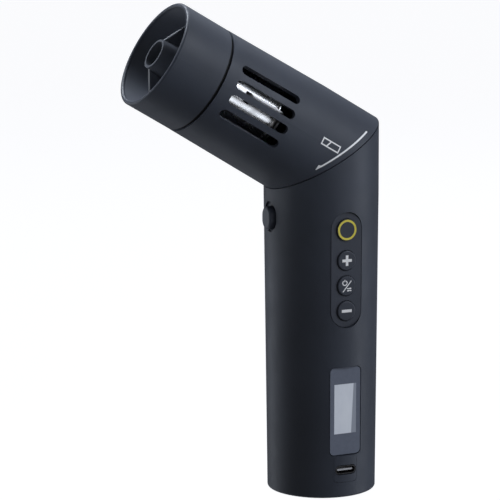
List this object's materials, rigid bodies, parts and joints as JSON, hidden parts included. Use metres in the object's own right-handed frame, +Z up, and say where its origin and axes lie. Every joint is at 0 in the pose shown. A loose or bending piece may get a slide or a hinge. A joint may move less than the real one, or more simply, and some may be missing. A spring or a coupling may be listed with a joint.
{
  "type": "cordless jet blower",
  "caption": "Cordless hand-held jet blower: a round handle with a key panel, display and charging port, and a fan head of the same diameter that swivels on a slanted joint.",
  "frame": {"origin": "centre of the handle's flat base", "axes": "+Z up the handle; the key panel faces -Y; at rest the head leans 60 degrees from the vertical towards -X"},
  "size_m": [0.1054, 0.046, 0.1966],
  "materials": {
    "case": "fine-textured moulded plastic",
    "panel": "fine-textured moulded plastic",
    "keys": "satin moulded plastic",
    "trigger": "satin moulded plastic",
    "yellow": "gloss",
    "lens": "gloss smoked",
    "lcd": "unlit liquid crystal",
    "black_plastic": "moulded",
    "usb_steel": "satin",
    "usb_tongue": "moulded",
    "circuit_board": "solder mask",
    "chips": "moulded",
    "switches": "moulded",
    "cell_wrap": "shrink sleeve over a steel can",
    "nickel": "satin",
    "screws": "blackened",
    "spring_steel": "bright drawn",
    "duct_metal": "bright turned",
    "impeller_metal": "machined",
    "magnet": "nickel plated",
    "laminations": "stacked laminations",
    "copper": "enamelled wire",
    "bearing_steel": "ground",
    "motor_plastic": "glass-filled moulding",
    "damper_rubber": "soft",
    "cable_sheath": "smooth",
    "lead_sheath": "smooth silicone sleeve"
  },
  "bodies": {
    "handle": {"handle_shell": "case", "bottom_cap": "case", "cap_screws": "screws", "control_panel": "panel", "display_lens": "lens", "display_module": "lcd", "display_frame": "black_plastic", "port_tab": "case", "usb_receptacle": "usb_steel", "usb_tongue": "usb_tongue", "main_board": "circuit_board", "board_chips": "chips", "key_switches": "switches", "lower_cradle": "black_plastic", "upper_cradle": "black_plastic", "battery_cells": "cell_wrap", "cell_strips": "nickel", "trigger_spring": "spring_steel", "trigger_carrier": "black_plastic", "trigger_switch": "switches", "swivel_socket": "black_plastic", "detent_springs": "spring_steel", "detent_balls": "spring_steel", "friction_washer": "spring_steel", "handle_cable": "cable_sheath"},
    "head": {"head_shell": "case", "swivel_hub": "black_plastic", "retainer_ring": "duct_metal", "retainer_screws": "screws", "head_cable": "cable_sheath", "driver_board": "circuit_board", "driver_parts": "chips", "driver_bracket": "black_plastic", "motor_leads": "lead_sheath", "fan_duct": "duct_metal", "rear_damper": "damper_rubber", "front_damper": "damper_rubber", "motor_frame": "motor_plastic", "motor_cap": "motor_plastic", "motor_bearings": "bearing_steel", "motor_core": "laminations", "motor_coils": "copper", "nozzle_spigot": "black_plastic", "nozzle_seal": "damper_rubber"},
    "rotor": {"impeller": "impeller_metal", "impeller_nut": "impeller_metal", "motor_shaft": "spring_steel", "rotor_magnet": "magnet"},
    "nozzle": {"nozzle_shroud": "case", "jet_core": "case"},
    "trigger": {"trigger_button": "trigger"},
    "turbo_key": {"turbo_button": "keys", "turbo_ring": "yellow"},
    "plus_key": {"plus_button": "keys"},
    "mode_key": {"mode_button": "keys"},
    "minus_key": {"minus_button": "keys"}
  },
  "joints": [
    {"name": "head_swivel", "type": "hinge", "parent": "handle", "child": "head", "pos_m": [0, 0, 0.1365], "axis": [0.5, 0, -0.866], "range_deg": [0, 180]},
    {"name": "impeller_spin", "type": "hinge", "parent": "head", "child": "rotor", "pos_m": [0, 0, 0.1365], "axis": [-0.866, 0, 0.5], "continuous": true},
    {"name": "nozzle_pull", "type": "slide", "parent": "head", "child": "nozzle", "axis": [-0.866, 0, 0.5], "range_m": [0, 0.008]},
    {"name": "trigger_press", "type": "slide", "parent": "handle", "child": "trigger", "axis": [1, 0, 0], "range_m": [0, 0.0016], "stiffness_N_per_m": 700, "springref_m": -0.001, "deforming": ["trigger_spring"]},
    {"name": "turbo_press", "type": "slide", "parent": "handle", "child": "turbo_key", "axis": [0, 1, 0.0092], "range_m": [0, 0.0005], "stiffness_N_per_m": 1500, "springref_m": -0.0004},
    {"name": "plus_press", "type": "slide", "parent": "handle", "child": "plus_key", "axis": [0, 1, 0.0092], "range_m": [0, 0.0005], "stiffness_N_per_m": 1500, "springref_m": -0.0004},
    {"name": "mode_press", "type": "slide", "parent": "handle", "child": "mode_key", "axis": [0, 1, 0.0092], "range_m": [0, 0.0005], "stiffness_N_per_m": 1500, "springref_m": -0.0004},
    {"name": "minus_press", "type": "slide", "parent": "handle", "child": "minus_key", "axis": [0, 1, 0.0092], "range_m": [0, 0.0005], "stiffness_N_per_m": 1500, "springref_m": -0.0004}
  ]
}
